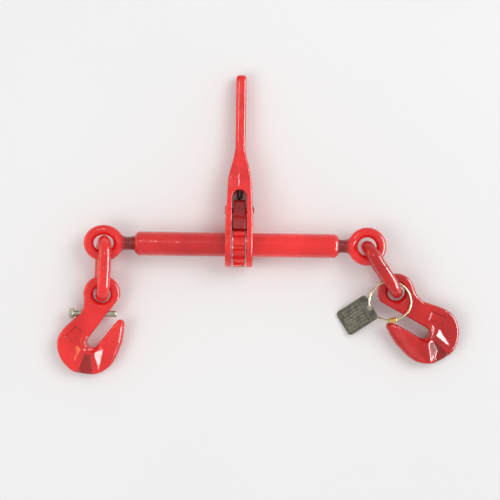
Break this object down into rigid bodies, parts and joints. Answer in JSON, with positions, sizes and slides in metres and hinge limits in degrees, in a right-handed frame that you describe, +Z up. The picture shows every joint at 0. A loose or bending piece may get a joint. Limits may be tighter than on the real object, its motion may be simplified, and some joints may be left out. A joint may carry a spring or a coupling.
{
  "type": "ratchet load binder",
  "caption": "Ratchet load binder with a lever over a turnbuckle barrel, eye screws, chain links, cradle grab hooks and a wired tag.",
  "frame": {"origin": "on the barrel's axis in the middle of the ratchet wheel; the binder lies on its side and the surface under it is 31 mm below", "axes": "+X along the barrel, +Y towards the lever's tip, +Z up from the surface that the binder lies on"},
  "size_m": [0.5457, 0.4109, 0.062],
  "materials": {
    "red_paint": "gloss",
    "bright_steel": "satin",
    "dark_steel": "satin",
    "zinc": "satin",
    "brass_wire": "satin",
    "gold_brass": "satin",
    "tag_metal": "worn"
  },
  "bodies": {
    "carrier": {"thrust_washers": "bright_steel"},
    "barrel": {"barrel_tube": "red_paint", "left_end_nut": "dark_steel", "right_end_nut": "dark_steel", "ratchet_wheel": "red_paint", "wheel_pins": "bright_steel"},
    "left_screw": {"left_eye_screw": "red_paint", "left_stop_collar": "dark_steel", "left_stop_pin": "bright_steel"},
    "right_screw": {"right_eye_screw": "red_paint", "right_stop_collar": "dark_steel", "right_stop_pin": "bright_steel"},
    "lever": {"lever": "red_paint", "pawl_pin": "zinc", "pawl_pin_clip": "dark_steel", "detent_spring": "dark_steel"},
    "pawl": {"pawl": "red_paint"},
    "plunger": {"detent_plunger": "bright_steel"},
    "left_link": {"left_link": "red_paint"},
    "right_link": {"right_link": "red_paint"},
    "left_hook": {"left_hook": "red_paint"},
    "right_hook": {"right_hook": "red_paint"},
    "safety_bolt": {"safety_bolt": "zinc"},
    "tag_loop": {"tag_loop": "brass_wire", "tag_ferrule": "gold_brass"},
    "tag": {"tag_plate": "tag_metal"}
  },
  "joints": [
    {"name": "barrel_spin", "type": "hinge", "parent": "carrier", "child": "barrel", "pos_m": [0, 0, 0], "axis": [1, 0, 0], "range_deg": [0, 5220]},
    {"name": "left_screw_travel", "type": "slide", "parent": "carrier", "child": "left_screw", "axis": [-1, 0, 0], "range_m": [0, 0.0725]},
    {"name": "right_screw_travel", "type": "slide", "parent": "carrier", "child": "right_screw", "axis": [1, 0, 0], "range_m": [0, 0.0725]},
    {"name": "lever_swing", "type": "hinge", "parent": "carrier", "child": "lever", "pos_m": [0, 0, 0], "axis": [1, 0, 0], "range_deg": [-180, 180]},
    {"name": "pawl_rock", "type": "hinge", "parent": "lever", "child": "pawl", "pos_m": [0, 0.04683, -0.00394], "axis": [1, 0, 0], "range_deg": [-8, 8]},
    {"name": "plunger_slide", "type": "slide", "parent": "lever", "child": "plunger", "axis": [0, 0.9965, -0.0839], "range_m": [0, 0.002], "stiffness_N_per_m": 800, "springref_m": -0.003, "deforming": ["detent_spring"]},
    {"name": "left_link_swing", "type": "hinge", "parent": "left_screw", "child": "left_link", "pos_m": [-0.18285, 0, 0], "axis": [0, 0, 1], "range_deg": [-195, 12]},
    {"name": "right_link_swing", "type": "hinge", "parent": "right_screw", "child": "right_link", "pos_m": [0.17285, 0, 0], "axis": [0, 0, 1], "range_deg": [-42, 166]},
    {"name": "left_hook_swing", "type": "hinge", "parent": "left_link", "child": "left_hook", "pos_m": [-0.18466, -0.06898, -0.0065], "axis": [0, -0.0964, 0.9953], "range_deg": [-60, 45]},
    {"name": "right_hook_swing", "type": "hinge", "parent": "right_link", "child": "right_hook", "pos_m": [0.21335, -0.06073, -0.0065], "axis": [0.0392, -0.088, 0.9953], "range_deg": [-10, 60]},
    {"name": "safety_bolt_travel", "type": "slide", "parent": "left_hook", "child": "safety_bolt", "axis": [-1, 0, 0], "range_m": [-0.0015, 0.014]},
    {"name": "tag_loop_lift", "type": "hinge", "parent": "right_link", "child": "tag_loop", "pos_m": [0.20653, -0.04681, 0.00566], "axis": [-1, 0, 0], "range_deg": [0, 75]},
    {"name": "tag_turn", "type": "hinge", "parent": "tag_loop", "child": "tag", "pos_m": [0.17749, -0.08202, -0.00127], "axis": [0.2064, -0.5784, -0.7892], "range_deg": [-15, 15]}
  ],
  "couplings": [
    {"joint": "left_screw_travel", "follows": "barrel_spin", "m_per_rad": 0.00079577},
    {"joint": "right_screw_travel", "follows": "barrel_spin", "m_per_rad": 0.00079577}
  ]
}
